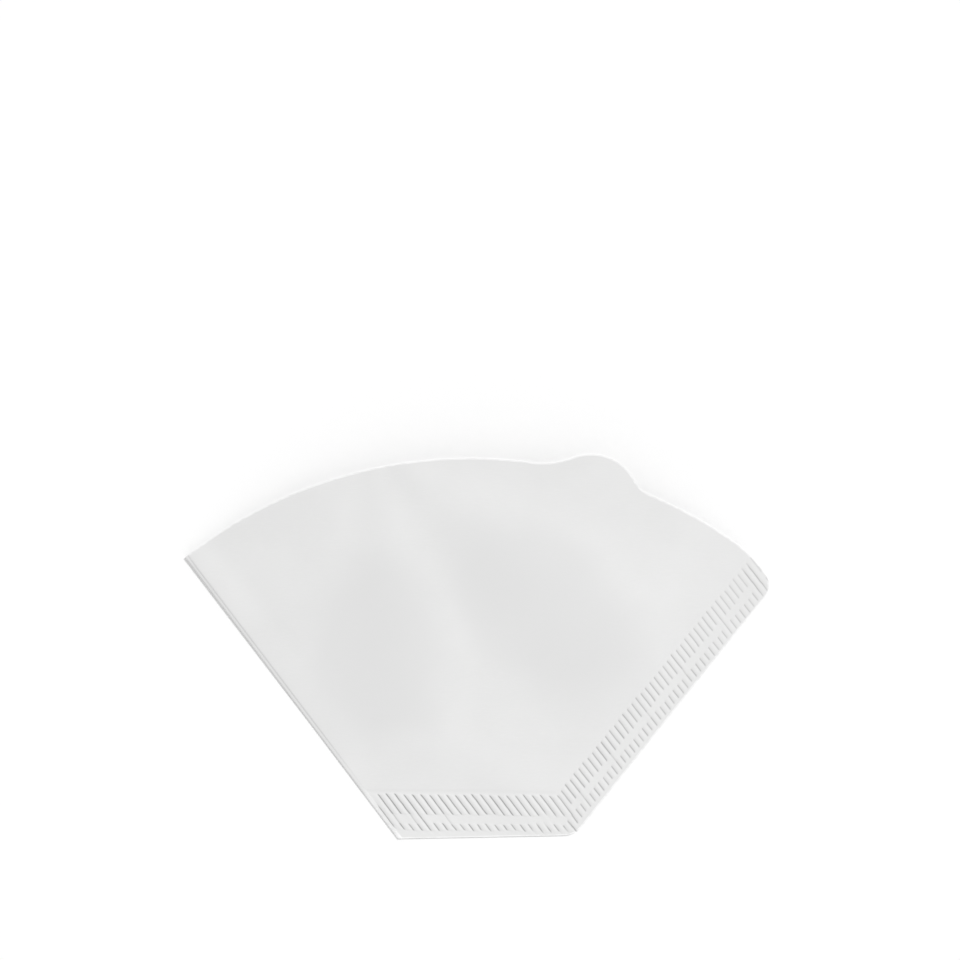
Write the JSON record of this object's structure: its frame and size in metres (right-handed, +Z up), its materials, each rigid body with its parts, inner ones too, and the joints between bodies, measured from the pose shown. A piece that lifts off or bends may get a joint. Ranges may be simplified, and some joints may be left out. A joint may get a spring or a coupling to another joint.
{
  "type": "paper coffee filter",
  "caption": "Flat-bottomed paper coffee filter, one folded white sheet with crimped bottom and side seams and a grip tab on its mouth.",
  "frame": {"origin": "middle of the footprint, on the surface that the back wall lies on", "axes": "+X across the filter from the folded side to the crimped side, +Y along the filter from the crimped bottom to the mouth, +Z up out of the front wall"},
  "size_m": [0.1602, 0.1046, 0.0087],
  "materials": {
    "filter_paper": "matte"
  },
  "bodies": {
    "root": {"filter_paper": "filter_paper"}
  },
  "joints": []
}
